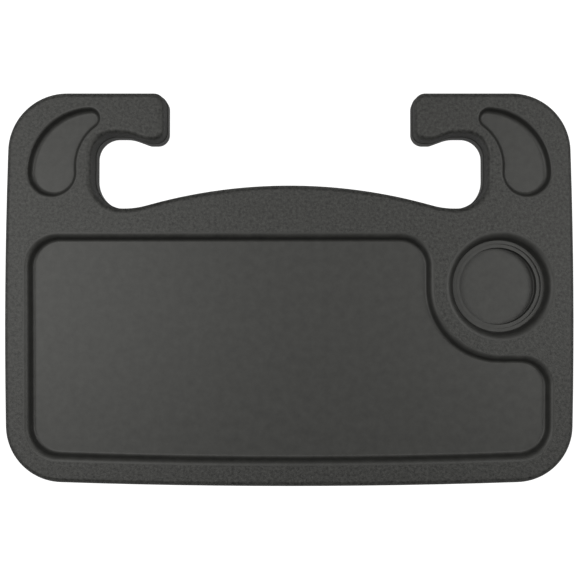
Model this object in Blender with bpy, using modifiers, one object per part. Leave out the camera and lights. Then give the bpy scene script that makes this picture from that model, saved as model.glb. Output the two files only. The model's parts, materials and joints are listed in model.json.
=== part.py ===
"""Steering wheel tray: a two-sided tray that hooks over the rim of a steering wheel.

Two thin-walled plastic mouldings meet at a parting line halfway down the edge. The front shell is the
food side: a wide recess, a stepped cup well and two teardrop wells in the hooks. The back shell is the
flat writing side, with ribs inside and a shallow pen groove. Self-tapping screws join them from the back.

Units are metres. X runs across the tray, Y runs up towards the hooks and Z rises from the flat back face.
The origin is the middle of the tray's box, on the surface that the back face rests on.
"""

import math

import bmesh
import bpy

# Overall form
WIDTH = 0.4185
DEPTH = 0.2898
THICKNESS = 0.024
PARTING_HEIGHT = 0.012
FIT_GAP = 0.0003
OVERRUN = 0.002
MOULD_DRAFT = math.radians(1.5)

# Plan outline: the long edges bow outwards a little between straight flanks
TOP_CORNER_RADIUS = 0.044
BOTTOM_CORNER_RADIUS = 0.0425
SIDE_LEAN = math.radians(1.45)
SIDE_FLANK = 0.04928
BOTTOM_LEAN = math.radians(1.94)
BOTTOM_FLANK = 0.04397

# Hooks and the slots that take the wheel's rim
SHOULDER_WIDTH = 0.06475
SLOT_HEIGHT = 0.0533
SLOT_TOP_CORNER_RADIUS = 0.0153
SLOT_BOTTOM_CORNER_RADIUS = 0.0215
SLOT_BROW_RADIUS = 0.026
HOOK_ARM_HEIGHT = 0.0318
HOOK_REACH = 0.0534
HOOK_TIP_LENGTH = 0.0368
HOOK_TIP_WIDTH = 0.0143
HOOK_TIP_TOP_RADIUS = 0.009
HOOK_TIP_BOTTOM_RADIUS = 0.009
HOOK_HEEL_RADIUS = 0.007
HOOK_HEEL_LEAN = math.radians(20)

# Arch between the slots
ARCH_FOOT_INSET = 0.031
ARCH_LEAN = math.radians(15.4)
ARCH_FLANK = 0.01177
ARCH_FOOT_RADIUS = 0.060

# Walls of the two mouldings
SIDE_WALL = 0.0024
SKIN = 0.002
FRONT_REVEAL = 0.0005
FRONT_EDGE_RADIUS = 0.0042
BACK_EDGE_RADIUS = 0.003
INNER_CHAMFER = 0.0015
TONGUE_HEIGHT = 0.0018
TONGUE_THICKNESS = 0.0008

# Recess for food, which swings round the cup well
RECESS_DEPTH = 0.007
RECESS_SIDE_RIM = 0.0147
RECESS_SIDE_LEAN = math.radians(0.6)
RECESS_BOTTOM_RIM = 0.0160
RECESS_CROWN_BAND = 0.0356
RECESS_TOP_RADIUS = 0.0250
RECESS_CORNER_SHARE = 0.3146
RECESS_INNER_SHARE = 0.2911
RECESS_BOTTOM_STRAIGHT = 0.0162
RECESS_LIP_RADIUS = 0.0040
RECESS_WALL_RUN = 0.0004
RECESS_FLOOR_FILLET = 0.0024

# Cup well, stepped for two sizes of cup, and the ridge between it and the recess
CUP_LIP_RADIUS = 0.0400
CUP_LIP_ROUNDING = 0.0050
CUP_FROM_SIDE = 0.0548
CUP_DROP = 0.0391
CUP_LEDGE_RADIUS = 0.0340
CUP_LEDGE_DEPTH = 0.009
CUP_COLLAR_WIDTH = 0.0026
CUP_COLLAR_HEIGHT = 0.0013
CUP_BASE_RADIUS = 0.0286
CUP_BASE_DEPTH = 0.0145
CUP_FILLET = 0.0006
RIDGE_BESIDE = 0.0082
RIDGE_BELOW = 0.0102
RIDGE_RADIUS = 0.0487

# Teardrop wells in the hooks
TEAR_LOBE_SHARE = 0.2950
TEAR_TIP_RADIUS = 0.0088
TEAR_OUTER_RADIUS = 0.0490
TEAR_INNER_RADIUS = 0.0349
TEAR_PLACE_SHARE = 0.5420
TEAR_FROM_TOP = 0.0593
TEAR_TIP_INWARD = 0.0276
TEAR_TIP_UPWARD = 0.0397
TEAR_DEPTH = 0.006
TEAR_LIP_RADIUS = 0.002
TEAR_WALL_RUN = 0.0004
TEAR_FLOOR_FILLET = 0.003

# Screws, their bosses in the front shell and their pillars in the back shell
SCREW_DIAMETER = 0.003
SCREW_LENGTH = 0.012
SCREW_POINT = 0.002
SCREW_HEAD_DIAMETER = 0.0056
SCREW_HEAD_HEIGHT = 0.0022
SCREW_HEAD_ROUNDING = 0.0008
SCREW_HEAD_SEAT = 0.0058
BOSS_WALL = 0.0018
BOSS_ROOF = 0.0015
PILLAR_WALL = 0.0016
HOOK_SCREW_INSET = 0.0175
ARCH_SCREW_SHARE = 0.617
SIDE_SCREW_INSET = 0.0085
SIDE_SCREW_SHARE = 0.138
BOTTOM_SCREW_SHARE = 0.1195
BOTTOM_SCREW_END_INSET = 0.06425

# Ribs in the back shell and the pen groove in its face
RIB_THICKNESS = 0.0014
RIB_PITCH = 0.0560
RIB_CLEARANCE = 0.0005
RIB_FIELD_INSET = 0.012
GROOVE_LENGTH_SHARE = 0.43
GROOVE_WIDTH = 0.012
GROOVE_DEPTH = 0.0032
GROOVE_DROP = 0.0094
GROOVE_EDGE = 0.0012

# How finely curves are drawn
OUTLINE_TOLERANCE = 0.00017
EDGE_STEPS = 3
LIP_STEPS = 3
FILLET_STEPS = 2
TEAR_STEPS = 2
CUP_SIDES = 40
BOSS_SIDES = 12
GROOVE_STEPS = 2
SHARP_ANGLE = math.radians(35)

TRAY_COLLECTION = "steering_wheel_tray"
CUTTER_COLLECTION = "cutters"


class Arc:
    """One round stretch of an outline, walked anticlockwise round the outline."""

    def __init__(self, x, y, radius, start, turn):
        self.x = x
        self.y = y
        self.radius = radius
        self.start = start
        self.turn = turn
        self.steps = max(1, math.ceil(abs(turn) / step_angle(radius)))

    def points(self, inset):
        """Points of the arc moved into the outline by inset, the same count for every inset."""
        side = math.copysign(1, self.turn)
        radius = self.radius - side * inset
        places = []
        for step in range(self.steps + 1):
            angle = self.start + self.turn * step / self.steps
            places.append((self.x + radius * math.cos(angle), self.y + radius * math.sin(angle)))
        return places


def step_angle(radius):
    """Angle of a facet whose middle lies the outline tolerance inside its arc."""
    tolerance_share = min(OUTLINE_TOLERANCE / radius, 1)
    return 2 * math.acos(1 - tolerance_share)


def filleted(corners):
    """Arcs that round the corners (x, y, radius) of an anticlockwise polygon."""
    arcs = []
    for index, (x, y, radius) in enumerate(corners):
        before = corners[index - 1]
        after = corners[(index + 1) % len(corners)]
        heading_in = math.atan2(y - before[1], x - before[0])
        heading_out = math.atan2(after[1] - y, after[0] - x)
        turn = math.remainder(heading_out - heading_in, math.tau)
        side = math.copysign(1, turn)
        setback = radius * math.tan(abs(turn) / 2)
        start_x = x - setback * math.cos(heading_in)
        start_y = y - setback * math.sin(heading_in)
        centre_x = start_x - side * radius * math.sin(heading_in)
        centre_y = start_y + side * radius * math.cos(heading_in)
        start = heading_in - side * math.pi / 2
        arcs.append(Arc(centre_x, centre_y, radius, start, turn))
    return arcs


def bow(half_length, lean, flank):
    """Radius and rise of the arc between the two straight flanks of an edge, which lean together."""
    radius = (half_length / math.cos(lean) - flank) / math.tan(lean)
    return radius, radius * (1 / math.cos(lean) - 1)


def mirrored(corners):
    """The same corners on the left of the tray, in walking order."""
    return [(-x, y, radius) for x, y, radius in reversed(corners)]


def slot_ends():
    """Half widths in plan between the slots' outer ends, the hook tips and the arch's feet."""
    slot_end = WIDTH / 2 - SHOULDER_WIDTH
    return slot_end, slot_end - HOOK_REACH, slot_end - ARCH_FOOT_INSET


def arch_bow():
    """Radius and rise of the arch between the slots."""
    _, _, arch_foot = slot_ends()
    return bow(arch_foot, ARCH_LEAN, ARCH_FLANK)


def slot_levels():
    """Heights in plan of the slot's top and bottom edges and of the arch's crown."""
    _, _, arch_foot = slot_ends()
    slot_top = DEPTH / 2 - HOOK_ARM_HEIGHT
    slot_bottom = slot_top - SLOT_HEIGHT
    _, rise = arch_bow()
    crown = slot_bottom + arch_foot * math.tan(ARCH_LEAN) - rise
    return slot_top, slot_bottom, crown


def tray_outline():
    """Arcs of the tray's plan outline at the parting line."""
    slot_end, tip_x, arch_foot = slot_ends()
    slot_top, slot_bottom, crown = slot_levels()
    bottom_radius, bottom_rise = bow(WIDTH / 2, BOTTOM_LEAN, BOTTOM_FLANK)
    side_radius, side_rise = bow(DEPTH / 2, SIDE_LEAN, SIDE_FLANK)
    arch_radius, arch_rise = arch_bow()
    side_peak = WIDTH / 2 + side_rise
    bottom_peak = -DEPTH / 2 - bottom_rise
    side_slope = math.tan(SIDE_LEAN)
    bottom_slope = math.tan(BOTTOM_LEAN)
    bottom_corner_x = (side_peak + bottom_peak * side_slope) / (1 - side_slope * bottom_slope)
    tip_bottom = DEPTH / 2 - HOOK_TIP_LENGTH
    heel_x = tip_x + HOOK_TIP_WIDTH
    brow_x = heel_x + (slot_top - tip_bottom) / math.tan(HOOK_HEEL_LEAN)
    right = [
        (bottom_corner_x, bottom_peak + bottom_corner_x * bottom_slope, BOTTOM_CORNER_RADIUS),
        (side_peak, 0, side_radius),
        (side_peak - DEPTH / 2 * side_slope, DEPTH / 2, TOP_CORNER_RADIUS),
        (tip_x, DEPTH / 2, HOOK_TIP_TOP_RADIUS),
        (tip_x, tip_bottom, HOOK_TIP_BOTTOM_RADIUS),
        (heel_x, tip_bottom, HOOK_HEEL_RADIUS),
        (brow_x, slot_top, SLOT_BROW_RADIUS),
        (slot_end, slot_top, SLOT_TOP_CORNER_RADIUS),
        (slot_end, slot_bottom, SLOT_BOTTOM_CORNER_RADIUS),
        (arch_foot, slot_bottom, ARCH_FOOT_RADIUS),
    ]
    bottom = [(0, bottom_peak, bottom_radius)]
    arch = [(0, crown + arch_rise, arch_radius)]
    return filleted(bottom + right + arch + mirrored(right))


def recess_edges():
    """Half width at the top, top and lowest edge of the recess's lip, in plan."""
    _, _, crown = slot_levels()
    return WIDTH / 2 - RECESS_SIDE_RIM, crown - RECESS_CROWN_BAND, -DEPTH / 2 + RECESS_BOTTOM_RIM


def cup_centre():
    """The cup well stands at the right, level with the top of the recess."""
    _, top, _ = recess_edges()
    return WIDTH / 2 - CUP_FROM_SIDE, top - CUP_DROP


def recess_outline():
    """Arcs of the recess's lip, which swings round the cup well by the width of a ridge."""
    half_width, top, bottom = recess_edges()
    cup_x, cup_y = cup_centre()
    ridge_x = cup_x - CUP_LIP_RADIUS - RIDGE_BESIDE
    ridge_y = cup_y - CUP_LIP_RADIUS - RIDGE_BELOW
    slope = math.tan(RECESS_SIDE_LEAN)
    corner_radius = RECESS_CORNER_SHARE * (ridge_y - bottom)
    inner_radius = RECESS_INNER_SHARE * (ridge_y - bottom)
    flank = corner_radius + RECESS_BOTTOM_STRAIGHT
    radius, rise = bow(half_width, BOTTOM_LEAN, flank)
    corner_y = bottom - rise + half_width * math.tan(BOTTOM_LEAN)
    corner_x = half_width - (top - corner_y) * slope
    return filleted(
        [
            (0, bottom - rise, radius),
            (corner_x, corner_y, corner_radius),
            (half_width - (top - ridge_y) * slope, ridge_y, inner_radius),
            (ridge_x, ridge_y, RIDGE_RADIUS),
            (ridge_x, top, RECESS_TOP_RADIUS),
            (-half_width, top, RECESS_TOP_RADIUS),
            (-corner_x, corner_y, corner_radius),
        ]
    )


def centre_at(first, first_distance, second, second_distance, side):
    """The point at two given distances from two points, on the named side of the line that joins them."""
    run_x = second[0] - first[0]
    run_y = second[1] - first[1]
    run = math.hypot(run_x, run_y)
    along = (run**2 + first_distance**2 - second_distance**2) / (2 * run)
    across = side * math.sqrt(first_distance**2 - along**2)
    x = first[0] + (along * run_x - across * run_y) / run
    y = first[1] + (along * run_y + across * run_x) / run
    return x, y


def heading(first, second):
    """Direction from one point to another."""
    return math.atan2(second[1] - first[1], second[0] - first[0])


def sweep_between(start, end, side):
    """The turn from one direction to another, anticlockwise where side is 1."""
    turn = (end - start) % math.tau
    return turn if side > 0 else turn - math.tau


def teardrop_lobe():
    """Centre and radius of the right teardrop's round end, placed across the shoulder beside the slot."""
    centre = (WIDTH / 2 - TEAR_PLACE_SHARE * SHOULDER_WIDTH, DEPTH / 2 - TEAR_FROM_TOP)
    return centre, TEAR_LOBE_SHARE * SHOULDER_WIDTH


def teardrop_outline():
    """Arcs of the right teardrop: a lobe and a tip, joined by a bulging and a hollow arc."""
    lobe, lobe_radius = teardrop_lobe()
    tip = (lobe[0] - TEAR_TIP_INWARD, lobe[1] + TEAR_TIP_UPWARD)
    bulge = centre_at(
        lobe, TEAR_OUTER_RADIUS - lobe_radius, tip, TEAR_OUTER_RADIUS - TEAR_TIP_RADIUS, 1
    )
    hollow = centre_at(
        lobe, TEAR_INNER_RADIUS + lobe_radius, tip, TEAR_INNER_RADIUS + TEAR_TIP_RADIUS, 1
    )
    lobe_start = heading(lobe, hollow)
    lobe_end = heading(bulge, lobe)
    tip_start = heading(bulge, tip)
    tip_end = heading(tip, hollow)
    hollow_start = heading(hollow, tip)
    hollow_end = heading(hollow, lobe)
    return [
        Arc(*lobe, lobe_radius, lobe_start, sweep_between(lobe_start, lobe_end, 1)),
        Arc(*bulge, TEAR_OUTER_RADIUS, lobe_end, sweep_between(lobe_end, tip_start, 1)),
        Arc(*tip, TEAR_TIP_RADIUS, tip_start, sweep_between(tip_start, tip_end, 1)),
        Arc(*hollow, TEAR_INNER_RADIUS, hollow_start, sweep_between(hollow_start, hollow_end, -1)),
    ]


def rounded_slot(length, width, y):
    """Arcs of a slot with round ends, centred across the tray."""
    reach = length / 2 - width / 2
    return [
        Arc(reach, y, width / 2, -math.pi / 2, math.pi),
        Arc(-reach, y, width / 2, math.pi / 2, math.pi),
    ]


def ring(outline, inset):
    """Points of an outline moved inwards by inset."""
    places = []
    for arc in outline:
        places.extend(arc.points(inset))
    return places


def collection_named(name, parent):
    """The collection of that name, made inside its parent when first asked for."""
    collection = bpy.data.collections.get(name)
    if collection is None:
        collection = bpy.data.collections.new(name)
        parent.children.link(collection)
    return collection


def into(collection_name, thing):
    """Links an object to the tray's collection, or to a group of cutters, which is shown as wire."""
    scene_collection = bpy.context.scene.collection
    if collection_name == TRAY_COLLECTION:
        collection_named(collection_name, scene_collection).objects.link(thing)
    else:
        cutters = collection_named(CUTTER_COLLECTION, scene_collection)
        collection_named(collection_name, cutters).objects.link(thing)
        thing.hide_render = True
        thing.display_type = "WIRE"
    return thing


def object_from(name, bm, collection_name):
    """Object made of a finished bmesh."""
    mesh = bpy.data.meshes.new(name)
    bmesh.ops.recalc_face_normals(bm, faces=bm.faces)
    bm.to_mesh(mesh)
    bm.free()
    return into(collection_name, bpy.data.objects.new(name, mesh))


def stack(name, outline, sections, collection_name, mirror=1):
    """Closed loft through copies of an outline: each section (inset, height) draws one of them."""
    bm = bmesh.new()
    rings = []
    for inset, height in sections:
        rings.append([bm.verts.new((mirror * x, y, height)) for x, y in ring(outline, inset)])
    for lower, upper in zip(rings, rings[1:]):
        for index in range(len(lower)):
            following = (index + 1) % len(lower)
            bm.faces.new((lower[index], lower[following], upper[following], upper[index]))
    bm.faces.new(list(reversed(rings[0])))
    bm.faces.new(rings[-1])
    bmesh.ops.dissolve_degenerate(bm, dist=FIT_GAP / 100, edges=bm.edges)
    return object_from(name, bm, collection_name)


def turned(name, profile, x, y, sides, collection_name):
    """Solid of revolution about an upright axis: the profile (radius, height) runs down the outside."""
    mesh = bpy.data.meshes.new(name)
    places = [(radius, 0, height) for radius, height in profile]
    mesh.from_pydata(places, [(i, i + 1) for i in range(len(places) - 1)], [])
    thing = into(collection_name, bpy.data.objects.new(name, mesh))
    add_screw_modifier(thing, sides)
    thing.location = (x, y, 0)
    return thing


def add_screw_modifier(thing, sides):
    """Turns an object's profile about its Z axis."""
    screw = thing.modifiers.new("revolve", "SCREW")
    screw.axis = "Z"
    screw.steps = sides
    screw.render_steps = sides
    screw.use_merge_vertices = True
    screw.merge_threshold = FIT_GAP / 100
    screw.use_smooth_shade = True


def post(name, radius, bottom, top, x, y, collection_name):
    """Upright cylinder between two heights."""
    bm = bmesh.new()
    bmesh.ops.create_cone(
        bm,
        cap_ends=True,
        segments=BOSS_SIDES,
        radius1=radius,
        radius2=radius,
        depth=top - bottom,
    )
    bmesh.ops.translate(bm, verts=bm.verts, vec=(x, y, (bottom + top) / 2))
    return object_from(name, bm, collection_name)


def block(name, low, high, collection_name):
    """Box between two corners."""
    bm = bmesh.new()
    bmesh.ops.create_cube(bm, size=1)
    size = [top - bottom for bottom, top in zip(low, high)]
    middle = [(top + bottom) / 2 for bottom, top in zip(low, high)]
    bmesh.ops.scale(bm, verts=bm.verts, vec=size)
    bmesh.ops.translate(bm, verts=bm.verts, vec=middle)
    return object_from(name, bm, collection_name)


def combine(target, operation, collection_name):
    """Boolean of the target with every solid of a collection."""
    boolean = target.modifiers.new(collection_name, "BOOLEAN")
    boolean.operation = operation
    boolean.operand_type = "COLLECTION"
    boolean.collection = bpy.data.collections[collection_name]
    boolean.solver = "EXACT"


def quarter(radius, steps):
    """Pairs (across, up) that walk a quarter circle from straight out to straight up."""
    pairs = []
    for step in range(steps + 1):
        angle = math.pi / 2 * step / steps
        pairs.append((radius * math.cos(angle), radius * math.sin(angle)))
    return pairs


def well_void(depth, lip, run, fillet, lip_steps, fillet_steps):
    """Sections of a well from its floor up: floor fillet, leaning wall, rounded lip, overrun."""
    floor = THICKNESS - depth
    sections = []
    for across, up in quarter(fillet, fillet_steps):
        sections.append((lip + run + fillet - up, floor + fillet - across))
    for across, up in quarter(lip, lip_steps):
        sections.append((across, THICKNESS - lip + up))
    sections.append((0, THICKNESS + OVERRUN))
    return sections


def well_tub(depth, lip, run, fillet):
    """Sections of the skin that hangs under the front shell round a well, as a solid to be hollowed."""
    bottom = THICKNESS - depth - SKIN
    foot = lip + run - SKIN
    return [
        (foot + fillet, bottom),
        (foot, bottom + fillet),
        (lip - SKIN, THICKNESS - SKIN / 2),
    ]


def draft_inset(rise):
    """How far a drafted wall leans in over a rise."""
    return rise * math.tan(MOULD_DRAFT)


def front_sections():
    """Outside of the front shell, from the parting line up to its rounded edge."""
    bottom = PARTING_HEIGHT + FIT_GAP
    shoulder = THICKNESS - FRONT_EDGE_RADIUS
    wall_inset = FRONT_REVEAL + draft_inset(shoulder - bottom)
    sections = [(FRONT_REVEAL, bottom)]
    for across, up in quarter(FRONT_EDGE_RADIUS, EDGE_STEPS):
        sections.append((wall_inset + FRONT_EDGE_RADIUS - across, shoulder + up))
    return sections


def front_cavity():
    """Inside of the front shell, with the rebate that takes the back shell's tongue."""
    bottom = PARTING_HEIGHT + FIT_GAP
    rebate = SIDE_WALL - TONGUE_THICKNESS - FIT_GAP
    rebate_top = PARTING_HEIGHT + TONGUE_HEIGHT + FIT_GAP
    inner = FRONT_REVEAL + SIDE_WALL
    ceiling = THICKNESS - SKIN
    slope = inner + draft_inset(ceiling - INNER_CHAMFER - bottom)
    return [
        (rebate, bottom - OVERRUN),
        (rebate, rebate_top),
        (inner, rebate_top),
        (slope, ceiling - INNER_CHAMFER),
        (slope + INNER_CHAMFER, ceiling),
    ]


def back_sections():
    """Outside of the back shell, from its rounded edge up to the parting line and the tongue."""
    tongue = SIDE_WALL - TONGUE_THICKNESS
    wall_inset = draft_inset(PARTING_HEIGHT - BACK_EDGE_RADIUS)
    sections = []
    for across, up in quarter(BACK_EDGE_RADIUS, EDGE_STEPS):
        sections.append((wall_inset + BACK_EDGE_RADIUS - up, BACK_EDGE_RADIUS - across))
    sections.append((0, PARTING_HEIGHT))
    sections.append((tongue, PARTING_HEIGHT))
    sections.append((tongue, PARTING_HEIGHT + TONGUE_HEIGHT))
    return sections


def back_cavity():
    """Inside of the back shell, open at the top."""
    slope = SIDE_WALL + draft_inset(PARTING_HEIGHT - SKIN - INNER_CHAMFER)
    return [
        (slope + INNER_CHAMFER, SKIN),
        (slope, SKIN + INNER_CHAMFER),
        (SIDE_WALL, PARTING_HEIGHT),
        (SIDE_WALL, PARTING_HEIGHT + TONGUE_HEIGHT + OVERRUN),
    ]


def screw_places():
    """Where the screws stand: one in each hook arm and shoulder, the rest along the rims."""
    _, tip_x, arch_foot = slot_ends()
    _, _, crown = slot_levels()
    _, top, bottom = recess_edges()
    lobe, lobe_radius = teardrop_lobe()
    bottom_radius, _ = bow(WIDTH / 2, BOTTOM_LEAN, BOTTOM_FLANK)
    arch_radius, _ = arch_bow()
    shoulder_y = (lobe[1] - lobe_radius + top) / 2
    bottom_rim_y = (-DEPTH / 2 + bottom) / 2
    end_x = WIDTH / 2 - BOTTOM_SCREW_END_INSET
    end_rise = end_x**2 / (2 * bottom_radius)
    arch_x = ARCH_SCREW_SHARE * arch_foot
    band_y = (crown + top) / 2
    band_drop = arch_x**2 / (2 * arch_radius) / 2
    places = [(0, band_y)]
    for side in (-1, 1):
        places.extend(
            [
                (side * (tip_x + HOOK_SCREW_INSET), DEPTH / 2 - HOOK_SCREW_INSET),
                (side * (WIDTH / 2 - SHOULDER_WIDTH / 2), shoulder_y),
                (side * arch_x, band_y - band_drop),
                (side * (WIDTH / 2 - SIDE_SCREW_INSET), -SIDE_SCREW_SHARE * DEPTH),
                (side * BOTTOM_SCREW_SHARE * WIDTH, bottom_rim_y),
                (side * end_x, bottom_rim_y + end_rise),
            ]
        )
    return places


def build_front_shell():
    """Food side: hollowed from below, wells and screw bosses added, then the wells opened."""
    outline = tray_outline()
    shell = stack("front_shell", outline, front_sections(), TRAY_COLLECTION)
    stack("front_cavity", outline, front_cavity(), "front_hollow")
    combine(shell, "DIFFERENCE", "front_hollow")
    add_front_tubs()
    combine(shell, "UNION", "front_additions")
    cut_front_voids()
    combine(shell, "DIFFERENCE", "front_voids")
    finish(shell, front_shell_material())


def add_front_tubs():
    """Skins that hang round each well, and the bosses that the screws bite into."""
    recess = (RECESS_DEPTH, RECESS_LIP_RADIUS, RECESS_WALL_RUN, RECESS_FLOOR_FILLET)
    stack("recess_tub", recess_outline(), well_tub(*recess), "front_additions")
    tear = (TEAR_DEPTH, TEAR_LIP_RADIUS, TEAR_WALL_RUN, TEAR_FLOOR_FILLET)
    for side, label in ((1, "right"), (-1, "left")):
        name = label + "_teardrop_tub"
        stack(name, teardrop_outline(), well_tub(*tear), "front_additions", side)
    cup_x, cup_y = cup_centre()
    base = THICKNESS - CUP_BASE_DEPTH - SKIN
    ledge = THICKNESS - CUP_LEDGE_DEPTH - SKIN
    profile = [
        (0, THICKNESS - SKIN / 2),
        (CUP_LIP_RADIUS - CUP_LIP_ROUNDING + 2 * SKIN, THICKNESS - SKIN / 2),
        (CUP_LEDGE_RADIUS + SKIN, ledge + CUP_FILLET),
        (CUP_LEDGE_RADIUS + SKIN - CUP_FILLET, ledge),
        (CUP_BASE_RADIUS + SKIN, ledge),
        (CUP_BASE_RADIUS + SKIN, base + CUP_FILLET),
        (CUP_BASE_RADIUS + SKIN - CUP_FILLET, base),
        (0, base),
    ]
    turned("cup_tub", profile, cup_x, cup_y, CUP_SIDES, "front_additions")
    radius = SCREW_DIAMETER / 2 + FIT_GAP + BOSS_WALL
    for index, (x, y) in enumerate(screw_places(), 1):
        name = f"boss_{index:02d}"
        post(name, radius, PARTING_HEIGHT + FIT_GAP, THICKNESS - SKIN / 2, x, y, "front_additions")


def cut_front_voids():
    """Hollows of the recess, the teardrops and the stepped cup well, and the screws' pilot holes."""
    recess = (RECESS_DEPTH, RECESS_LIP_RADIUS, RECESS_WALL_RUN, RECESS_FLOOR_FILLET)
    void = well_void(*recess, LIP_STEPS, FILLET_STEPS)
    stack("recess_void", recess_outline(), void, "front_voids")
    tear = (TEAR_DEPTH, TEAR_LIP_RADIUS, TEAR_WALL_RUN, TEAR_FLOOR_FILLET)
    void = well_void(*tear, TEAR_STEPS, TEAR_STEPS)
    for side, label in ((1, "right"), (-1, "left")):
        name = label + "_teardrop_void"
        stack(name, teardrop_outline(), void, "front_voids", side)
    cup_x, cup_y = cup_centre()
    base = THICKNESS - CUP_BASE_DEPTH
    ledge = THICKNESS - CUP_LEDGE_DEPTH
    profile = [(0, THICKNESS + OVERRUN), (CUP_LIP_RADIUS, THICKNESS + OVERRUN)]
    for across, up in reversed(quarter(CUP_LIP_ROUNDING, LIP_STEPS)):
        profile.append((CUP_LIP_RADIUS - across, THICKNESS - CUP_LIP_ROUNDING + up))
    collar = ledge + CUP_COLLAR_HEIGHT
    profile += [
        (CUP_LEDGE_RADIUS + CUP_FILLET / 2, collar + CUP_FILLET),
        (CUP_LEDGE_RADIUS - CUP_FILLET / 2, collar),
        (CUP_LEDGE_RADIUS - CUP_COLLAR_WIDTH, collar),
        (CUP_LEDGE_RADIUS - CUP_COLLAR_WIDTH, ledge),
        (CUP_BASE_RADIUS, ledge),
        (CUP_BASE_RADIUS, base + CUP_FILLET),
        (CUP_BASE_RADIUS - CUP_FILLET, base),
        (0, base),
    ]
    turned("cup_void", profile, cup_x, cup_y, CUP_SIDES, "front_voids")
    radius = SCREW_DIAMETER / 2 + FIT_GAP
    for index, (x, y) in enumerate(screw_places(), 1):
        name = f"pilot_hole_{index:02d}"
        top = THICKNESS - SKIN - BOSS_ROOF
        post(name, radius, PARTING_HEIGHT - OVERRUN, top, x, y, "front_voids")


def build_back_shell():
    """Writing side: a shallow pan with pillars, ribs and a pen groove."""
    outline = tray_outline()
    shell = stack("back_shell", outline, back_sections(), TRAY_COLLECTION)
    stack("back_cavity", outline, back_cavity(), "back_hollow")
    combine(shell, "DIFFERENCE", "back_hollow")
    add_pillars()
    add_ribs()
    add_groove()
    combine(shell, "UNION", "back_additions")
    combine(shell, "DIFFERENCE", "back_voids")
    finish(shell, back_shell_material())


def add_pillars():
    """Hollow pillars that the screws pass, each with a deep counterbore for the head."""
    head_radius = SCREW_HEAD_DIAMETER / 2 + FIT_GAP
    shank_radius = SCREW_DIAMETER / 2 + FIT_GAP
    for index, (x, y) in enumerate(screw_places(), 1):
        post(
            f"pillar_{index:02d}",
            head_radius + PILLAR_WALL,
            SKIN / 2,
            PARTING_HEIGHT,
            x,
            y,
            "back_additions",
        )
        post(f"counterbore_{index:02d}", head_radius, -OVERRUN, SCREW_HEAD_SEAT, x, y, "back_voids")
        post(
            f"clearance_hole_{index:02d}",
            shank_radius,
            SKIN,
            PARTING_HEIGHT + OVERRUN,
            x,
            y,
            "back_voids",
        )


def add_ribs():
    """Crossing ribs on the back shell's floor, as high as the cup well's underside allows."""
    half_width, top, bottom = recess_edges()
    rib_top = THICKNESS - CUP_BASE_DEPTH - SKIN - RIB_CLEARANCE
    left = -half_width + RIB_FIELD_INSET
    low = bottom + RIB_FIELD_INSET
    right = -left
    high = top - RIB_FIELD_INSET
    for index in range(math.floor((right - left) / RIB_PITCH) + 1):
        x = (index - math.floor((right - left) / RIB_PITCH) / 2) * RIB_PITCH
        start = (x - RIB_THICKNESS / 2, low, SKIN / 2)
        end = (x + RIB_THICKNESS / 2, high, rib_top)
        block(f"upright_rib_{index + 1}", start, end, "back_additions")
    middle = (low + high) / 2
    for index in range(math.floor((high - low) / RIB_PITCH) + 1):
        y = middle + (index - math.floor((high - low) / RIB_PITCH) / 2) * RIB_PITCH
        start = (left, y - RIB_THICKNESS / 2, SKIN / 2)
        end = (right, y + RIB_THICKNESS / 2, rib_top)
        block(f"cross_rib_{index + 1}", start, end, "back_additions")


def add_groove():
    """Pen groove sunk into the back face, with its skin standing up inside."""
    _, top, _ = recess_edges()
    outline = rounded_slot(GROOVE_LENGTH_SHARE * WIDTH, GROOVE_WIDTH, top - GROOVE_DROP)
    tub = [(-SKIN, SKIN / 2), (-SKIN, GROOVE_DEPTH), (GROOVE_EDGE - SKIN, GROOVE_DEPTH + SKIN)]
    stack("groove_tub", outline, tub, "back_additions")
    void = [(0, -OVERRUN), (0, GROOVE_DEPTH - GROOVE_EDGE)]
    for across, up in quarter(GROOVE_EDGE, GROOVE_STEPS)[1:]:
        void.append((GROOVE_EDGE - across, GROOVE_DEPTH - GROOVE_EDGE + up))
    stack("groove_void", outline, void, "back_voids")


def build_screws():
    """Pan-head self-tapping screws, driven from the back: all share one turned profile."""
    head_radius = SCREW_HEAD_DIAMETER / 2
    shank_radius = SCREW_DIAMETER / 2
    under_head = SCREW_HEAD_SEAT - FIT_GAP
    shank_top = under_head + SCREW_LENGTH
    head_bottom = under_head - SCREW_HEAD_HEIGHT
    profile = [
        (0, shank_top),
        (shank_radius, shank_top - SCREW_POINT),
        (shank_radius, under_head),
        (head_radius, under_head),
        (head_radius, head_bottom + SCREW_HEAD_ROUNDING),
        (head_radius - SCREW_HEAD_ROUNDING, head_bottom),
        (0, head_bottom),
    ]
    material = screw_material()
    shared_mesh = None
    for index, (x, y) in enumerate(screw_places(), 1):
        name = f"shell_screw_{index:02d}"
        if shared_mesh is None:
            screw = turned(name, profile, x, y, BOSS_SIDES, TRAY_COLLECTION)
            shared_mesh = screw.data
        else:
            screw = into(TRAY_COLLECTION, bpy.data.objects.new(name, shared_mesh))
            add_screw_modifier(screw, BOSS_SIDES)
            screw.location = (x, y, 0)
        finish(screw, material)


def finish(thing, material):
    """Shades an object smooth between its sharp edges and gives it its material."""
    thing.data.shade_smooth()
    thing.data.set_sharp_from_angle(angle=SHARP_ANGLE)
    if not thing.data.materials:
        thing.data.materials.append(material)


def principled(name, colour, roughness, metallic):
    """Material with one Principled shader."""
    material = bpy.data.materials.new(name)
    material.use_nodes = True
    shader = material.node_tree.nodes["Principled BSDF"]
    shader.inputs["Base Color"].default_value = (*colour, 1)
    shader.inputs["Roughness"].default_value = roughness
    shader.inputs["Metallic"].default_value = metallic
    return material


def front_shell_material():
    return principled("grained charcoal ABS", (0.075, 0.075, 0.073), 0.55, 0)


def back_shell_material():
    return principled("textured charcoal ABS", (0.06, 0.06, 0.059), 0.6, 0)


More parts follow.
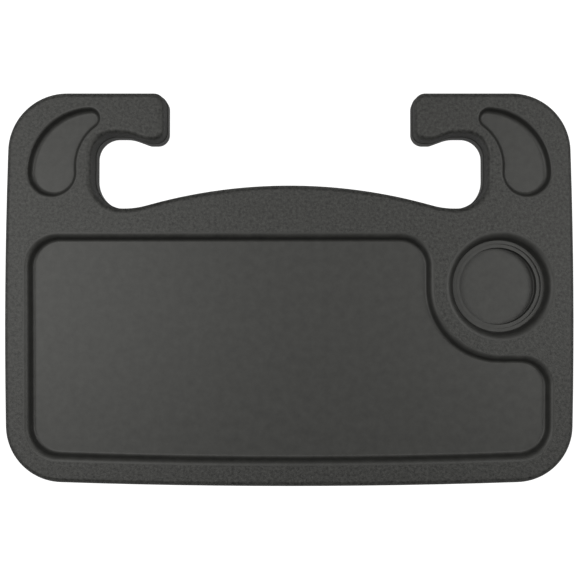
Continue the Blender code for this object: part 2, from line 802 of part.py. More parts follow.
def screw_material():
    return principled("black zinc steel", (0.12, 0.12, 0.12), 0.35, 1)


def clear_scene():
    for thing in list(bpy.data.objects):
        bpy.data.objects.remove(thing, do_unlink=True)
    for collection in list(bpy.data.collections):
        bpy.data.collections.remove(collection)


def main():
    clear_scene()
    build_front_shell()
    build_back_shell()
    build_screws()


main()
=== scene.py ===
"""Steering wheel tray: finely shaped mouldings and screws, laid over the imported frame, with the stage.

Units are metres. X runs across the tray, Y runs up towards the hooks and Z rises from the flat back face.
"""

import json
import math

import bmesh
import bpy
from bpy.props import FloatProperty, FloatVectorProperty, IntProperty, PointerProperty
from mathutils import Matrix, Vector

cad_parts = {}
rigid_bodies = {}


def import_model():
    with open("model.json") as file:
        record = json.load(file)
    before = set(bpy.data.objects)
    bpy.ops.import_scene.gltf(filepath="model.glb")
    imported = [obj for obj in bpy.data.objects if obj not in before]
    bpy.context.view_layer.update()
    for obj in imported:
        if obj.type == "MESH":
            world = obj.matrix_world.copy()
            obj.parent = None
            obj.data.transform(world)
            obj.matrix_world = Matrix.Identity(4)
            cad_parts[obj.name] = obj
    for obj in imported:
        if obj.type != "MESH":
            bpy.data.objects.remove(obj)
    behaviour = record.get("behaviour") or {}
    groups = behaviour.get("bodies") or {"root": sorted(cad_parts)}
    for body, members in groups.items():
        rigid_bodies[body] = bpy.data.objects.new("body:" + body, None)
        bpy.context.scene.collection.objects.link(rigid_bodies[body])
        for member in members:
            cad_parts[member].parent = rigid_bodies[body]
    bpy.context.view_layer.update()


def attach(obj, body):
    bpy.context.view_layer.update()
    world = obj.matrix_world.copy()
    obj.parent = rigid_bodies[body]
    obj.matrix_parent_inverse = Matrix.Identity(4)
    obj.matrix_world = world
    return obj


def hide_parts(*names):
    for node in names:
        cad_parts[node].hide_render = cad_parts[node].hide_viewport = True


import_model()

bl_info = {
    "name": "Steering wheel tray",
    "version": (1, 0, 0),
    "blender": (4, 5, 0),
    "location": "3D View > Sidebar > Tray",
    "description": "Builds a two-shell moulded tray that hooks over a steering wheel, and its studio",
    "category": "Add Mesh",
}

BODY = "root"

# Overall form
WIDTH = 0.4185
DEPTH = 0.2898
THICKNESS = 0.024
PARTING_HEIGHT = 0.012
FIT_GAP = 0.0003
OVERRUN = 0.002
MOULD_DRAFT = math.radians(1.5)

# Plan outline: the long edges bow outwards a little between straight flanks
TOP_CORNER_RADIUS = 0.044
BOTTOM_CORNER_RADIUS = 0.0425
SIDE_LEAN = math.radians(1.45)
SIDE_FLANK = 0.04928
BOTTOM_LEAN = math.radians(1.94)
BOTTOM_FLANK = 0.04397

# Hooks and the slots that take the wheel's rim
SHOULDER_WIDTH = 0.06475
SLOT_HEIGHT = 0.0533
SLOT_TOP_CORNER_RADIUS = 0.0153
SLOT_BOTTOM_CORNER_RADIUS = 0.0215
SLOT_BROW_RADIUS = 0.026
HOOK_ARM_HEIGHT = 0.0318
HOOK_REACH = 0.0534
HOOK_TIP_LENGTH = 0.0368
HOOK_TIP_WIDTH = 0.0143
HOOK_TIP_TOP_RADIUS = 0.009
HOOK_TIP_BOTTOM_RADIUS = 0.009
HOOK_HEEL_RADIUS = 0.007
HOOK_HEEL_LEAN = math.radians(20)

# Arch between the slots
ARCH_FOOT_INSET = 0.031
ARCH_LEAN = math.radians(15.4)
ARCH_FLANK = 0.01177
ARCH_FOOT_RADIUS = 0.060

# Walls of the two mouldings
SIDE_WALL = 0.0024
SKIN = 0.002
HALF_SKIN = SKIN / 2
INNER_CHAMFER = 0.0015
TONGUE_HEIGHT = 0.0018
TONGUE_THICKNESS = 0.0008

# Recess for food, which swings round the cup well
RECESS_SIDE_RIM = 0.0147
RECESS_SIDE_LEAN = math.radians(0.6)
RECESS_BOTTOM_RIM = 0.0160
RECESS_CROWN_BAND = 0.0356
RECESS_TOP_RADIUS = 0.0250
RECESS_CORNER_SHARE = 0.3146
RECESS_INNER_SHARE = 0.2911
RECESS_BOTTOM_STRAIGHT = 0.0162
RECESS_WALL_RUN = 0.0004
RECESS_FLOOR_FILLET = 0.0024

# Cup well, stepped for two sizes of cup, and the ridge between it and the recess
CUP_LIP_RADIUS = 0.0400
CUP_LIP_ROUNDING = 0.0050
CUP_FROM_SIDE = 0.0548
CUP_DROP = 0.0391
CUP_LEDGE_RADIUS = 0.0340
CUP_LEDGE_DEPTH = 0.009
CUP_COLLAR_WIDTH = 0.0026
CUP_COLLAR_HEIGHT = 0.0013
CUP_BASE_RADIUS = 0.0286
CUP_BASE_DEPTH = 0.0145
CUP_FILLET = 0.0006
RIDGE_BESIDE = 0.0082
RIDGE_BELOW = 0.0102
RIDGE_RADIUS = 0.0487

# Teardrop wells in the hooks
TEAR_LOBE_SHARE = 0.2950
TEAR_TIP_RADIUS = 0.0088
TEAR_OUTER_RADIUS = 0.0490
TEAR_INNER_RADIUS = 0.0349
TEAR_PLACE_SHARE = 0.5420
TEAR_FROM_TOP = 0.0593
TEAR_TIP_INWARD = 0.0276
TEAR_TIP_UPWARD = 0.0397
TEAR_LIP_RADIUS = 0.002
TEAR_WALL_RUN = 0.0004
TEAR_FLOOR_FILLET = 0.003

# Screws, their bosses in the front shell and their pillars in the back shell
SCREW_DIAMETER = 0.003
SCREW_LENGTH = 0.012
SCREW_POINT = 0.002
SCREW_HEAD_DIAMETER = 0.0056
SCREW_HEAD_HEIGHT = 0.0022
SCREW_HEAD_ROUNDING = 0.0008
SCREW_HEAD_SEAT = 0.0058
SCREW_RECESS_WIDTH = 0.0034
SCREW_RECESS_SLOT = 0.0007
SCREW_RECESS_DEPTH = 0.0012
BOSS_WALL = 0.0018
BOSS_ROOF = 0.0015
PILLAR_WALL = 0.0016
HOOK_SCREW_INSET = 0.0175
ARCH_SCREW_SHARE = 0.617
SIDE_SCREW_INSET = 0.0085
SIDE_SCREW_SHARE = 0.138
BOTTOM_SCREW_SHARE = 0.1195
BOTTOM_SCREW_END_INSET = 0.06425

# Ribs in the back shell and the pen groove in its face
RIB_THICKNESS = 0.0014
RIB_PITCH = 0.0560
RIB_CLEARANCE = 0.0005
RIB_FIELD_INSET = 0.012
GROOVE_LENGTH_SHARE = 0.43
GROOVE_WIDTH = 0.012
GROOVE_DEPTH = 0.0032
GROOVE_DROP = 0.0094
GROOVE_EDGE = 0.0012

# How finely curves are drawn where they are hidden, how near corners join, and where edges turn sharp
HIDDEN_TOLERANCE = 0.00015
HIDDEN_STEPS = 3
JOIN_DISTANCE = FIT_GAP / 100
SHARP_ANGLE = math.radians(40)

# How many times fewer facets go round these than round the cup well
CUP_SKIN_FEWER = 3
SCREW_FEWER = 3
PILLAR_FEWER = 4
BOSS_FEWER = 6

# Materials: how the plastic bends light, and the size and height of each texture
ABS_IOR = 1.53
GRAIN_HEIGHT = 0.0004
CLOUD_SIZE = 0.006
PIT_SPACING = 0.0008
PIT_HEIGHT = 0.0002
PLATING_PATCH_SIZE = 0.0007

# Studio: how far the paper reaches and lies below the tray, then the softboxes' middles and sizes
PAPER_REACH = 12
PAPER_GAP = 0.0003
PAPER_GREY = "757575"
LAMP_WHITE = "fffffb"
LEFT_SOFTBOX_PLACE = (-0.74, 0.05, 1.2)
RIGHT_SOFTBOX_PLACE = (0.87, 0.1, 1.2)
SIDE_SOFTBOX_SIZE = (0.8, 0.7)
OVERHEAD_SOFTBOX_PLACE = (0, 0.6, 1.3)
OVERHEAD_SOFTBOX_SIZE = (0.6, 0.5)
SOFTBOX_TARGET = (0, 0, 0)
CAMERA_X = 0.015
CAMERA_Y = -0.01115
CAMERA_TILT = math.radians(1.2)
CAMERA_SHIFT = -0.0378


def linear(hex_colour):
    """Linear red, green and blue of an sRGB hex colour."""
    channels = [int(hex_colour[start:start + 2], 16) / 255 for start in (0, 2, 4)]
    return [c / 12.92 if c <= 0.04045 else ((c + 0.055) / 1.055) ** 2.4 for c in channels]


class TrayShape(bpy.types.PropertyGroup):
    """Sizes of the tray that a user may change."""

    edge_radius: FloatProperty(
        name="Rim rounding",
        description="Radius of the front shell's outer edge",
        default=0.0042,
        min=0.001,
        max=0.006,
        unit="LENGTH",
    )
    back_edge_radius: FloatProperty(
        name="Back rounding",
        description="Radius of the back shell's outer edge",
        default=0.003,
        min=0.001,
        max=0.006,
        unit="LENGTH",
    )
    parting_reveal: FloatProperty(
        name="Parting step",
        description="How far the front shell stands inside the back shell at the parting line",
        default=0.0005,
        min=0,
        max=0.001,
        unit="LENGTH",
    )
    recess_depth: FloatProperty(
        name="Recess depth",
        description="Depth of the wide food recess",
        default=0.007,
        min=0.004,
        max=0.010,
        unit="LENGTH",
    )
    recess_lip: FloatProperty(
        name="Recess lip",
        description="Radius of the edge round the recess",
        default=0.0040,
        min=0.0005,
        max=0.004,
        unit="LENGTH",
    )
    teardrop_depth: FloatProperty(
        name="Teardrop depth",
        description="Depth of the teardrop wells in the hooks",
        default=0.006,
        min=0.003,
        max=0.008,
        unit="LENGTH",
    )
    curve_tolerance: FloatProperty(
        name="Curve tolerance",
        description="How far a facet may lie inside the true curve of an outline",
        default=0.00002,
        min=0.000005,
        max=0.0005,
        precision=6,
        unit="LENGTH",
    )
    edge_steps: IntProperty(
        name="Rounding steps",
        description="Facets across each rounded edge that shows",
        default=9,
        min=3,
        max=24,
    )
    cup_sides: IntProperty(
        name="Cup facets",
        description="Facets round the cup well",
        default=144,
        min=24,
        max=360,
    )


class TrayFinish(bpy.types.PropertyGroup):
    """Colours and grain of the mouldings and screws."""

    rim_colour: FloatVectorProperty(
        name="Rim",
        description="Colour of the grained rim of the front shell",
        default=linear("2a2a29"),
        subtype="COLOR",
        min=0,
        max=1,
    )
    well_colour: FloatVectorProperty(
        name="Wells",
        description="Colour of the smooth wells and floors",
        default=linear("2a2a29"),
        subtype="COLOR",
        min=0,
        max=1,
    )
    back_colour: FloatVectorProperty(
        name="Back shell",
        description="Colour of the writing side",
        default=linear("282827"),
        subtype="COLOR",
        min=0,
        max=1,
    )
    screw_colour: FloatVectorProperty(
        name="Screws",
        description="Colour of the zinc plated screws",
        default=linear("5a5a5c"),
        subtype="COLOR",
        min=0,
        max=1,
    )
    grain_size: FloatProperty(
        name="Rim grain",
        description="Width of the coarsest mottles of the rim's texture",
        default=0.0022,
        min=0.0001,
        max=0.003,
        unit="LENGTH",
    )


class TrayStudio(bpy.types.PropertyGroup):
    """Softboxes, room light and camera."""

    left_power: FloatProperty(
        name="Left softbox",
        description="Power of the left softbox",
        default=14,
        min=0,
        unit="POWER",
    )
    right_power: FloatProperty(
        name="Right softbox",
        description="Power of the right softbox",
        default=12.5,
        min=0,
        unit="POWER",
    )
    top_power: FloatProperty(
        name="Overhead softbox",
        description="Power of the softbox above the tray",
        default=1.5,
        min=0,
        unit="POWER",
    )
    room_light: FloatProperty(
        name="Room light",
        description="Strength of the grey light from all round",
        default=0.03,
        min=0,
    )
    camera_height: FloatProperty(
        name="Camera height",
        description="Height of the camera over the back face",
        default=0.578,
        min=0.2,
        unit="LENGTH",
    )
    view_angle: FloatProperty(
        name="View angle",
        description="Angle that the square picture takes in",
        default=math.radians(41.53),
        min=math.radians(10),
        max=math.radians(90),
        subtype="ANGLE",
    )


class Arc:
    """One round stretch of an outline, walked anticlockwise round the outline."""

    def __init__(self, x, y, radius, start, turn):
        self.x = x
        self.y = y
        self.radius = radius
        self.start = start
        self.turn = turn

    def points(self, inset, tolerance):
        """Points of the arc moved into the outline by inset, the same count for every inset."""
        step_angle = 2 * math.acos(1 - min(tolerance / self.radius, 1))
        steps = max(1, math.ceil(abs(self.turn) / step_angle))
        radius = self.radius - math.copysign(1, self.turn) * inset
        places = []
        for step in range(steps + 1):
            angle = self.start + self.turn * step / steps
            places.append((self.x + radius * math.cos(angle), self.y + radius * math.sin(angle)))
        return places


def filleted(corners):
    """Arcs that round the corners (x, y, radius) of an anticlockwise polygon."""
    arcs = []
    for index, (x, y, radius) in enumerate(corners):
        before = corners[index - 1]
        after = corners[(index + 1) % len(corners)]
        heading_in = math.atan2(y - before[1], x - before[0])
        heading_out = math.atan2(after[1] - y, after[0] - x)
        turn = math.remainder(heading_out - heading_in, math.tau)
        side = math.copysign(1, turn)
        setback = radius * math.tan(abs(turn) / 2)
        start_x = x - setback * math.cos(heading_in)
        start_y = y - setback * math.sin(heading_in)
        centre_x = start_x - side * radius * math.sin(heading_in)
        centre_y = start_y + side * radius * math.cos(heading_in)
        arcs.append(Arc(centre_x, centre_y, radius, heading_in - side * math.pi / 2, turn))
    return arcs


def bow(half_length, lean, flank):
    """Radius and rise of the arc between the two straight flanks of an edge, which lean together."""
    radius = (half_length / math.cos(lean) - flank) / math.tan(lean)
    return radius, radius * (1 / math.cos(lean) - 1)


def mirrored(corners):
    """The same corners on the left of the tray, in walking order."""
    return [(-x, y, radius) for x, y, radius in reversed(corners)]


def slot_ends():
    """Half widths in plan between the slots' outer ends, the hook tips and the arch's feet."""
    slot_end = WIDTH / 2 - SHOULDER_WIDTH
    return slot_end, slot_end - HOOK_REACH, slot_end - ARCH_FOOT_INSET


def arch_bow():
    """Radius and rise of the arch between the slots."""
    _, _, arch_foot = slot_ends()
    return bow(arch_foot, ARCH_LEAN, ARCH_FLANK)


def slot_levels():
    """Heights in plan of the slot's top and bottom edges and of the arch's crown."""
    _, _, arch_foot = slot_ends()
    slot_top = DEPTH / 2 - HOOK_ARM_HEIGHT
    slot_bottom = slot_top - SLOT_HEIGHT
    _, rise = arch_bow()
    crown = slot_bottom + arch_foot * math.tan(ARCH_LEAN) - rise
    return slot_top, slot_bottom, crown


def tray_outline():
    """Arcs of the tray's plan outline at the parting line."""
    slot_end, tip_x, arch_foot = slot_ends()
    slot_top, slot_bottom, crown = slot_levels()
    bottom_radius, bottom_rise = bow(WIDTH / 2, BOTTOM_LEAN, BOTTOM_FLANK)
    side_radius, side_rise = bow(DEPTH / 2, SIDE_LEAN, SIDE_FLANK)
    arch_radius, arch_rise = arch_bow()
    side_peak = WIDTH / 2 + side_rise
    bottom_peak = -DEPTH / 2 - bottom_rise
    side_slope = math.tan(SIDE_LEAN)
    bottom_slope = math.tan(BOTTOM_LEAN)
    bottom_corner_x = (side_peak + bottom_peak * side_slope) / (1 - side_slope * bottom_slope)
    tip_bottom = DEPTH / 2 - HOOK_TIP_LENGTH
    heel_x = tip_x + HOOK_TIP_WIDTH
    brow_x = heel_x + (slot_top - tip_bottom) / math.tan(HOOK_HEEL_LEAN)
    right = [
        (bottom_corner_x, bottom_peak + bottom_corner_x * bottom_slope, BOTTOM_CORNER_RADIUS),
        (side_peak, 0, side_radius),
        (side_peak - DEPTH / 2 * side_slope, DEPTH / 2, TOP_CORNER_RADIUS),
        (tip_x, DEPTH / 2, HOOK_TIP_TOP_RADIUS),
        (tip_x, tip_bottom, HOOK_TIP_BOTTOM_RADIUS),
        (heel_x, tip_bottom, HOOK_HEEL_RADIUS),
        (brow_x, slot_top, SLOT_BROW_RADIUS),
        (slot_end, slot_top, SLOT_TOP_CORNER_RADIUS),
        (slot_end, slot_bottom, SLOT_BOTTOM_CORNER_RADIUS),
        (arch_foot, slot_bottom, ARCH_FOOT_RADIUS),
    ]
    bottom = [(0, bottom_peak, bottom_radius)]
    arch = [(0, crown + arch_rise, arch_radius)]
    return filleted(bottom + right + arch + mirrored(right))


def recess_edges():
    """Half width at the top, top and lowest edge of the recess's lip, in plan."""
    _, _, crown = slot_levels()
    return WIDTH / 2 - RECESS_SIDE_RIM, crown - RECESS_CROWN_BAND, -DEPTH / 2 + RECESS_BOTTOM_RIM


def cup_centre():
    """The cup well stands at the right, level with the top of the recess."""
    _, top, _ = recess_edges()
    return WIDTH / 2 - CUP_FROM_SIDE, top - CUP_DROP


def recess_outline():
    """Arcs of the recess's lip, which swings round the cup well by the width of a ridge."""
    half_width, top, bottom = recess_edges()
    cup_x, cup_y = cup_centre()
    ridge_x = cup_x - CUP_LIP_RADIUS - RIDGE_BESIDE
    ridge_y = cup_y - CUP_LIP_RADIUS - RIDGE_BELOW
    slope = math.tan(RECESS_SIDE_LEAN)
    corner_radius = RECESS_CORNER_SHARE * (ridge_y - bottom)
    inner_radius = RECESS_INNER_SHARE * (ridge_y - bottom)
    flank = corner_radius + RECESS_BOTTOM_STRAIGHT
    radius, rise = bow(half_width, BOTTOM_LEAN, flank)
    corner_y = bottom - rise + half_width * math.tan(BOTTOM_LEAN)
    corner_x = half_width - (top - corner_y) * slope
    return filleted(
        [
            (0, bottom - rise, radius),
            (corner_x, corner_y, corner_radius),
            (half_width - (top - ridge_y) * slope, ridge_y, inner_radius),
            (ridge_x, ridge_y, RIDGE_RADIUS),
            (ridge_x, top, RECESS_TOP_RADIUS),
            (-half_width, top, RECESS_TOP_RADIUS),
            (-corner_x, corner_y, corner_radius),
        ]
    )


def centre_at(first, first_distance, second, second_distance):
    """The point at two given distances from two points, to the left of the way between them."""
    run = Vector(second) - Vector(first)
    along = (run.length**2 + first_distance**2 - second_distance**2) / (2 * run.length)
    across = math.sqrt(first_distance**2 - along**2)
    return Vector(first) + run.normalized() * along + run.orthogonal().normalized() * across


def heading(first, second):
    """Direction from one point to another."""
    return math.atan2(second[1] - first[1], second[0] - first[0])


def sweep_between(start, end, side):
    """The turn from one direction to another, anticlockwise where side is 1."""
    turn = (end - start) % math.tau
    return turn if side > 0 else turn - math.tau


def teardrop_lobe():
    """Centre and radius of the right teardrop's round end, placed across the shoulder beside the slot."""
    centre = (WIDTH / 2 - TEAR_PLACE_SHARE * SHOULDER_WIDTH, DEPTH / 2 - TEAR_FROM_TOP)
    return centre, TEAR_LOBE_SHARE * SHOULDER_WIDTH


def teardrop_outline():
    """Arcs of the right teardrop: a lobe and a tip, joined by a bulging and a hollow arc."""
    lobe, lobe_radius = teardrop_lobe()
    tip = (lobe[0] - TEAR_TIP_INWARD, lobe[1] + TEAR_TIP_UPWARD)
    bulge = centre_at(lobe, TEAR_OUTER_RADIUS - lobe_radius, tip, TEAR_OUTER_RADIUS - TEAR_TIP_RADIUS)
    hollow = centre_at(lobe, TEAR_INNER_RADIUS + lobe_radius, tip, TEAR_INNER_RADIUS + TEAR_TIP_RADIUS)
    lobe_start = heading(lobe, hollow)
    lobe_end = heading(bulge, lobe)
    tip_start = heading(bulge, tip)
    tip_end = heading(tip, hollow)
    hollow_start = heading(hollow, tip)
    hollow_end = heading(hollow, lobe)
    return [
        Arc(*lobe, lobe_radius, lobe_start, sweep_between(lobe_start, lobe_end, 1)),
        Arc(*bulge, TEAR_OUTER_RADIUS, lobe_end, sweep_between(lobe_end, tip_start, 1)),
        Arc(*tip, TEAR_TIP_RADIUS, tip_start, sweep_between(tip_start, tip_end, 1)),
        Arc(*hollow, TEAR_INNER_RADIUS, hollow_start, sweep_between(hollow_start, hollow_end, -1)),
    ]


def rounded_slot(length, width, y):
    """Arcs of a slot with round ends, centred across the tray."""
    reach = length / 2 - width / 2
    return [
        Arc(reach, y, width / 2, -math.pi / 2, math.pi),
        Arc(-reach, y, width / 2, math.pi / 2, math.pi),
    ]


def into(collection_name, thing):
    """Links an object to a named collection, made when first asked for."""
    collection = bpy.data.collections.get(collection_name)
    if collection is None:
        collection = bpy.data.collections.new(collection_name)
        bpy.context.scene.collection.children.link(collection)
    collection.objects.link(thing)
    return thing


def object_from(name, bm, collection_name, material):
    """Object made of a finished bmesh, in one finish."""
    mesh = bpy.data.meshes.new(name)
    bmesh.ops.recalc_face_normals(bm, faces=bm.faces)
    bm.to_mesh(mesh)
    bm.free()
    mesh.materials.append(material)
    return into(collection_name, bpy.data.objects.new(name, mesh))


def stack(name, outline, sections, collection_name, material, tolerance, mirror=1):
    """Closed loft through copies of an outline: each section (inset, height) draws one of them."""
    bm = bmesh.new()
    rings = []
    for inset, height in sections:
        ring = []
        for arc in outline:
            ring += [bm.verts.new((mirror * x, y, height)) for x, y in arc.points(inset, tolerance)]
        rings.append(ring)
    for lower, upper in zip(rings, rings[1:]):
        for index in range(len(lower)):
            following = (index + 1) % len(lower)
            bm.faces.new((lower[index], lower[following], upper[following], upper[index]))
    bm.faces.new(list(reversed(rings[0])))
    bm.faces.new(rings[-1])
    bmesh.ops.dissolve_degenerate(bm, dist=JOIN_DISTANCE, edges=bm.edges)
    return object_from(name, bm, collection_name, material)


def turned(name, profile, x, y, sides, collection_name, material):
    """Solid of revolution about an upright axis: the profile (radius, height) runs from axis to axis."""
    bm = bmesh.new()
    for (inner, low), (outer, high) in zip(profile, profile[1:]):
        for side in range(sides):
            corners = []
            for radius, height, step in (
                (inner, low, side),
                (inner, low, side + 1),
                (outer, high, side + 1),
                (outer, high, side),
            ):
                angle = math.tau * (step % sides) / sides
                place = (x + radius * math.cos(angle), y + radius * math.sin(angle), height)
                if place not in corners:
                    corners.append(place)
            bm.faces.new([bm.verts.new(place) for place in corners])
    bmesh.ops.remove_doubles(bm, verts=bm.verts, dist=JOIN_DISTANCE)
    return object_from(name, bm, collection_name, material)


def post(name, radius, bottom, top, x, y, sides, collection_name, material):
    """Upright cylinder between two heights."""
    profile = [(0, top), (radius, top), (radius, bottom), (0, bottom)]
    return turned(name, profile, x, y, sides, collection_name, material)


def block(name, low, high, collection_name, material):
    """Box between two corners."""
    bm = bmesh.new()
    bmesh.ops.create_cube(bm, size=1)
    size = [top - bottom for bottom, top in zip(low, high)]
    middle = [(top + bottom) / 2 for bottom, top in zip(low, high)]
    bmesh.ops.scale(bm, verts=bm.verts, vec=size)
    bmesh.ops.translate(bm, verts=bm.verts, vec=middle)
    return object_from(name, bm, collection_name, material)


def combine(target, operation, collection_name):
    """Boolean of the target with every solid of a collection, whose finishes go with their faces."""
    boolean = target.modifiers.new(collection_name, "BOOLEAN")
    boolean.operation = operation
    boolean.operand_type = "COLLECTION"
    boolean.collection = bpy.data.collections[collection_name]
    boolean.solver = "EXACT"
    boolean.material_mode = "TRANSFER"


def settle(thing, cutter_collections):
    """Applies the modifiers, removes the cutters, and shades the piece smooth between its sharp edges."""
    depsgraph = bpy.context.evaluated_depsgraph_get()
    finished = bpy.data.meshes.new_from_object(thing.evaluated_get(depsgraph))
    if not finished.polygons:
        raise RuntimeError(f"{thing.name} came out empty")
    thing.modifiers.clear()
    thing.data = finished
    for name in cutter_collections:
        collection = bpy.data.collections[name]
        for cutter in list(collection.objects):
            bpy.data.objects.remove(cutter, do_unlink=True)
        bpy.data.collections.remove(collection)
    finished.shade_smooth()
    finished.set_sharp_from_angle(angle=SHARP_ANGLE)
    weighted = thing.modifiers.new("weighted_normals", "WEIGHTED_NORMAL")
    weighted.keep_sharp = True
    return thing


def quarter(radius, steps):
    """Pairs (across, up) that walk a quarter circle from straight out to straight up."""
    pairs = []
    for step in range(steps + 1):
        angle = math.pi / 2 * step / steps
        pairs.append((radius * math.cos(angle), radius * math.sin(angle)))
    return pairs


def well_void(depth, lip, run, fillet, steps):
    """Sections of a well from its floor up: floor fillet, leaning wall, rounded lip, overrun."""
    floor = THICKNESS - depth
    sections = []
    for across, up in quarter(fillet, steps):
        sections.append((lip + run + fillet - up, floor + fillet - across))
    for across, up in quarter(lip, steps):
        sections.append((across, THICKNESS - lip + up))
    sections.append((0, THICKNESS + OVERRUN))
    return sections


def well_tub(depth, lip, run, fillet):
    """Sections of the skin that hangs under the front shell round a well, as a solid to be hollowed."""
    bottom = THICKNESS - depth - SKIN
    foot = lip + run - SKIN
    return [
        (foot + fillet, bottom),
        (foot, bottom + fillet),
        (lip - SKIN, THICKNESS - HALF_SKIN),
    ]


def draft_inset(rise):
    """How far a drafted wall leans in over a rise."""
    return rise * math.tan(MOULD_DRAFT)


def front_sections(shape):
    """Outside of the front shell, from the parting line up to its rounded edge."""
    bottom = PARTING_HEIGHT + FIT_GAP
    radius = shape.edge_radius
    shoulder = THICKNESS - radius
    wall_inset = shape.parting_reveal + draft_inset(shoulder - bottom)
    sections = [(shape.parting_reveal, bottom)]
    for across, up in quarter(radius, shape.edge_steps):
        sections.append((wall_inset + radius - across, shoulder + up))
    return sections


def front_cavity(shape):
    """Inside of the front shell, with the rebate that takes the back shell's tongue."""
    bottom = PARTING_HEIGHT + FIT_GAP
    rebate = SIDE_WALL - TONGUE_THICKNESS - FIT_GAP
    rebate_top = PARTING_HEIGHT + TONGUE_HEIGHT + FIT_GAP
    inner = shape.parting_reveal + SIDE_WALL
    ceiling = THICKNESS - SKIN
    slope = inner + draft_inset(ceiling - INNER_CHAMFER - bottom)
    return [
        (rebate, bottom - OVERRUN),
        (rebate, rebate_top),
        (inner, rebate_top),
        (slope, ceiling - INNER_CHAMFER),
        (slope + INNER_CHAMFER, ceiling),
    ]


def back_sections(shape):
    """Outside of the back shell, from its rounded edge up to the parting line and the tongue."""
    tongue = SIDE_WALL - TONGUE_THICKNESS
    radius = shape.back_edge_radius
    wall_inset = draft_inset(PARTING_HEIGHT - radius)
    sections = []
    for across, up in quarter(radius, shape.edge_steps):
        sections.append((wall_inset + radius - up, radius - across))
    sections.append((0, PARTING_HEIGHT))
    sections.append((tongue, PARTING_HEIGHT))
    sections.append((tongue, PARTING_HEIGHT + TONGUE_HEIGHT))
    return sections


def back_cavity():
    """Inside of the back shell, open at the top."""
    slope = SIDE_WALL + draft_inset(PARTING_HEIGHT - SKIN - INNER_CHAMFER)
    return [
        (slope + INNER_CHAMFER, SKIN),
        (slope, SKIN + INNER_CHAMFER),
        (SIDE_WALL, PARTING_HEIGHT),
        (SIDE_WALL, PARTING_HEIGHT + TONGUE_HEIGHT + OVERRUN),
    ]


def screw_places():
    """Where the screws stand: one in each hook arm and shoulder, the rest along the rims."""
    _, tip_x, arch_foot = slot_ends()
    _, _, crown = slot_levels()
    _, top, bottom = recess_edges()
    lobe, lobe_radius = teardrop_lobe()
    bottom_radius, _ = bow(WIDTH / 2, BOTTOM_LEAN, BOTTOM_FLANK)
    arch_radius, _ = arch_bow()
    shoulder_y = (lobe[1] - lobe_radius + top) / 2
    bottom_rim_y = (-DEPTH / 2 + bottom) / 2
    end_x = WIDTH / 2 - BOTTOM_SCREW_END_INSET
    end_rise = end_x**2 / (2 * bottom_radius)
    arch_x = ARCH_SCREW_SHARE * arch_foot
    band_y = (crown + top) / 2
    band_drop = arch_x**2 / (2 * arch_radius) / 2
    places = [(0, band_y)]
    for side in (-1, 1):
        places.extend(
            [
                (side * (tip_x + HOOK_SCREW_INSET), DEPTH / 2 - HOOK_SCREW_INSET),
                (side * (WIDTH / 2 - SHOULDER_WIDTH / 2), shoulder_y),
                (side * arch_x, band_y - band_drop),
                (side * (WIDTH / 2 - SIDE_SCREW_INSET), -SIDE_SCREW_SHARE * DEPTH),
                (side * BOTTOM_SCREW_SHARE * WIDTH, bottom_rim_y),
                (side * end_x, bottom_rim_y + end_rise),
            ]
        )
    return places


def cup_void_profile(shape):
    """Radius and height down the cup well: rounded lip, leaning wall, collar, ledge and base."""
    base = THICKNESS - CUP_BASE_DEPTH
    ledge = THICKNESS - CUP_LEDGE_DEPTH
    collar = ledge + CUP_COLLAR_HEIGHT
    profile = [(0, THICKNESS + OVERRUN), (CUP_LIP_RADIUS, THICKNESS + OVERRUN)]
    for across, up in reversed(quarter(CUP_LIP_ROUNDING, shape.edge_steps)):
        profile.append((CUP_LIP_RADIUS - across, THICKNESS - CUP_LIP_ROUNDING + up))
    profile += [
        (CUP_LEDGE_RADIUS + CUP_FILLET / 2, collar + CUP_FILLET),
        (CUP_LEDGE_RADIUS - CUP_FILLET / 2, collar),
        (CUP_LEDGE_RADIUS - CUP_COLLAR_WIDTH, collar),
        (CUP_LEDGE_RADIUS - CUP_COLLAR_WIDTH, ledge),
        (CUP_BASE_RADIUS, ledge),
    ]
    for across, up in quarter(CUP_FILLET, HIDDEN_STEPS):
        profile.append((CUP_BASE_RADIUS - CUP_FILLET + across, base + CUP_FILLET - up))
    profile.append((0, base))
    return profile


def build_front_shell(shape, finish):
    """Food side: hollowed from below, wells and screw bosses added, then the wells opened."""
    rim = grained_abs(finish)
    smooth = satin_abs(finish)
    fine = shape.curve_tolerance
    outline = tray_outline()
    shell = stack("front_moulding", outline, front_sections(shape), "tray", rim, fine)
    stack("front_cavity", outline, front_cavity(shape), "front_hollow", smooth, HIDDEN_TOLERANCE)
    combine(shell, "DIFFERENCE", "front_hollow")
    add_front_tubs(shape, smooth)
    combine(shell, "UNION", "front_additions")
    cut_front_voids(shape, smooth)
    combine(shell, "DIFFERENCE", "front_voids")
    return settle(shell, ("front_hollow", "front_additions", "front_voids"))


